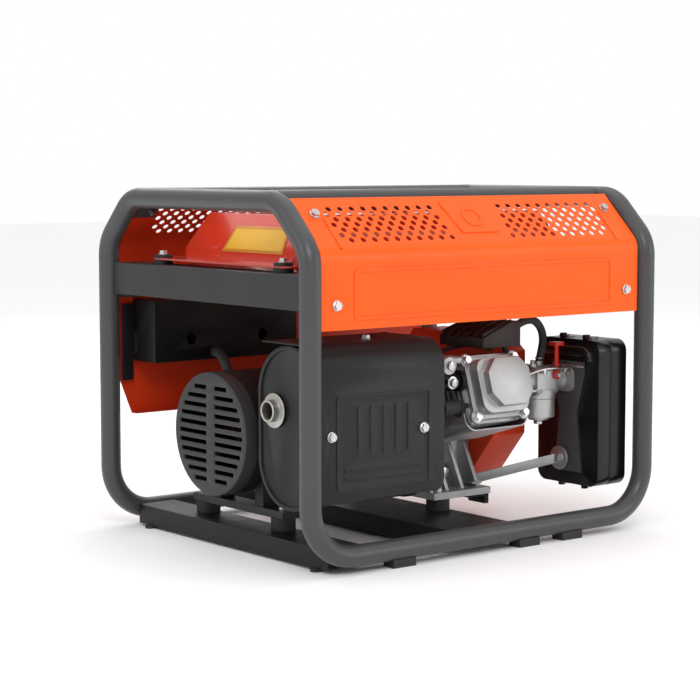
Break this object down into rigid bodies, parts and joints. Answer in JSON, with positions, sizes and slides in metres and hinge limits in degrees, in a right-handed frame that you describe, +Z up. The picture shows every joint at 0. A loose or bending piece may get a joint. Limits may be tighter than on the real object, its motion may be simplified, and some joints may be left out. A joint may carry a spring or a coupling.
{
  "type": "portable generator",
  "caption": "Open-frame petrol generator: bent tube frame, side panels, fuel tank, tilted single cylinder engine, alternator, muffler with heat shield and box air cleaner.",
  "frame": {"origin": "on the ground under the middle of the frame", "axes": "+X along the length towards the air cleaner, -Y towards the muffler side, +Y towards the control panel, +Z up"},
  "size_m": [0.6, 0.475, 0.465],
  "materials": {
    "frame_paint": "satin powder coat, dark grey",
    "dark_paint": "satin powder coat, near black",
    "orange_paint": "gloss paint, orange",
    "red_paint": "gloss paint, orange red",
    "amber_plate": "printed amber, plain",
    "rubber": "matt black",
    "black_plastic": "semi gloss black",
    "matte_plastic": "matt black",
    "white_plastic": "gloss, off white",
    "red_plastic": "gloss red",
    "cast_aluminium": "bead blasted casting",
    "bright_steel": "zinc plated",
    "dark_steel": "oiled laminations and forgings",
    "heat_paint": "heat resistant matt black",
    "exhaust_steel": "heat tinted",
    "grey_plastic": "satin grey",
    "foam": "open cell foam",
    "copper": "varnished copper winding"
  },
  "bodies": {
    "machine": {"frame_left_half": "frame_paint", "frame_right_half": "frame_paint", "top_rails": "frame_paint", "crossbars": "dark_paint", "cross_channels": "dark_paint", "rubber_feet": "rubber", "panel_tabs": "dark_paint", "rear_panel": "orange_paint", "front_panel": "orange_paint", "flange_bolts": "bright_steel", "control_box": "black_plastic", "control_face": "matte_plastic", "sockets": "black_plastic", "voltmeter": "white_plastic", "ground_terminal": "bright_steel", "tank_upper_shell": "red_paint", "tank_lower_shell": "red_paint", "tank_plate": "amber_plate", "tank_rubbers": "rubber", "fuel_valve": "bright_steel", "fuel_hose": "rubber", "crankcase": "cast_aluminium", "cylinder_head": "cast_aluminium", "valve_cover": "cast_aluminium", "cylinder_shroud": "bright_steel", "air_deflector": "matte_plastic", "blower_housing": "red_paint", "recoil_cover": "black_plastic", "spark_plug": "rubber", "carburettor": "cast_aluminium", "float_bowl": "bright_steel", "filter_base": "black_plastic", "filter_element": "foam", "filter_stay": "bright_steel", "exhaust_pipe": "exhaust_steel", "muffler": "heat_paint", "heat_shield": "heat_paint", "alternator_flange": "cast_aluminium", "stator": "dark_steel", "alternator_bell": "dark_paint", "alternator_cover": "grey_plastic", "foot_bar": "frame_paint", "rubber_mounts": "rubber"},
    "spin": {"crankshaft": "dark_steel", "flywheel": "cast_aluminium", "rotor": "copper"},
    "piston": {"piston": "cast_aluminium"},
    "choke": {"choke_lever": "red_plastic"},
    "throttle": {"throttle_lever": "bright_steel"},
    "valve_lever": {"fuel_valve_lever": "red_plastic"},
    "cap": {"fuel_cap": "matte_plastic"},
    "dipstick": {"oil_dipstick": "matte_plastic"},
    "handle": {"recoil_handle": "black_plastic"},
    "lid_left": {"socket_lid_left": "black_plastic"},
    "lid_right": {"socket_lid_right": "black_plastic"},
    "switch": {"engine_switch": "red_plastic"},
    "breaker": {"breaker_button": "white_plastic"},
    "clips_top": {"clips_top": "bright_steel"},
    "clips_bottom": {"clips_bottom": "bright_steel"},
    "filter_cover": {"filter_cover": "black_plastic"}
  },
  "joints": [
    {"name": "crank_spin", "type": "hinge", "parent": "machine", "child": "spin", "pos_m": [0, 0.017, 0.149], "axis": [1, 0, 0], "continuous": true},
    {"name": "piston_slide", "type": "slide", "parent": "machine", "child": "piston", "axis": [0, -0.9563, 0.2924], "range_m": [-0.054, 0]},
    {"name": "choke_turn", "type": "hinge", "parent": "machine", "child": "choke", "pos_m": [0.184, -0.16008, 0.21069], "axis": [0, 1, 0], "range_deg": [-55, 0]},
    {"name": "throttle_turn", "type": "hinge", "parent": "machine", "child": "throttle", "pos_m": [0.16, -0.13808, 0.22269], "axis": [0, 0, 1], "range_deg": [0, 60]},
    {"name": "fuel_valve_turn", "type": "hinge", "parent": "machine", "child": "valve_lever", "pos_m": [0.14, -0.114, 0.313], "axis": [0, -1, 0], "range_deg": [0, 90]},
    {"name": "fuel_cap_lift", "type": "slide", "parent": "machine", "child": "cap", "axis": [0, 0, 1], "range_m": [0, 0.06]},
    {"name": "dipstick_pull", "type": "slide", "parent": "machine", "child": "dipstick", "axis": [0, 1, 0], "range_m": [0, 0.05]},
    {"name": "recoil_pull", "type": "slide", "parent": "machine", "child": "handle", "axis": [0, 1, 0], "range_m": [0, 0.5]},
    {"name": "socket_lid_left_hinge", "type": "hinge", "parent": "machine", "child": "lid_left", "pos_m": [-0.158, 0.2305, 0.297], "axis": [1, 0, 0], "range_deg": [0, 120], "stiffness_Nm_per_rad": 0.01},
    {"name": "socket_lid_right_hinge", "type": "hinge", "parent": "machine", "child": "lid_right", "pos_m": [-0.098, 0.2305, 0.297], "axis": [1, 0, 0], "range_deg": [0, 120], "stiffness_Nm_per_rad": 0.01},
    {"name": "engine_switch_rock", "type": "hinge", "parent": "machine", "child": "switch", "pos_m": [-0.056, 0.223, 0.28], "axis": [1, 0, 0], "range_deg": [-8, 0]},
    {"name": "breaker_press", "type": "slide", "parent": "machine", "child": "breaker", "axis": [0, -1, 0], "range_m": [0, 0.004], "stiffness_N_per_m": 800},
    {"name": "clips_top_hinge", "type": "hinge", "parent": "machine", "child": "clips_top", "pos_m": [0.227, -0.1518, 0.26], "axis": [0, 1, 0], "range_deg": [-110, 0]},
    {"name": "clips_bottom_hinge", "type": "hinge", "parent": "machine", "child": "clips_bottom", "pos_m": [0.227, -0.1518, 0.056], "axis": [0, 1, 0], "range_deg": [0, 110]},
    {"name": "filter_cover_pull", "type": "slide", "parent": "machine", "child": "filter_cover", "axis": [1, 0, 0], "range_m": [0, 0.1]}
  ]
}
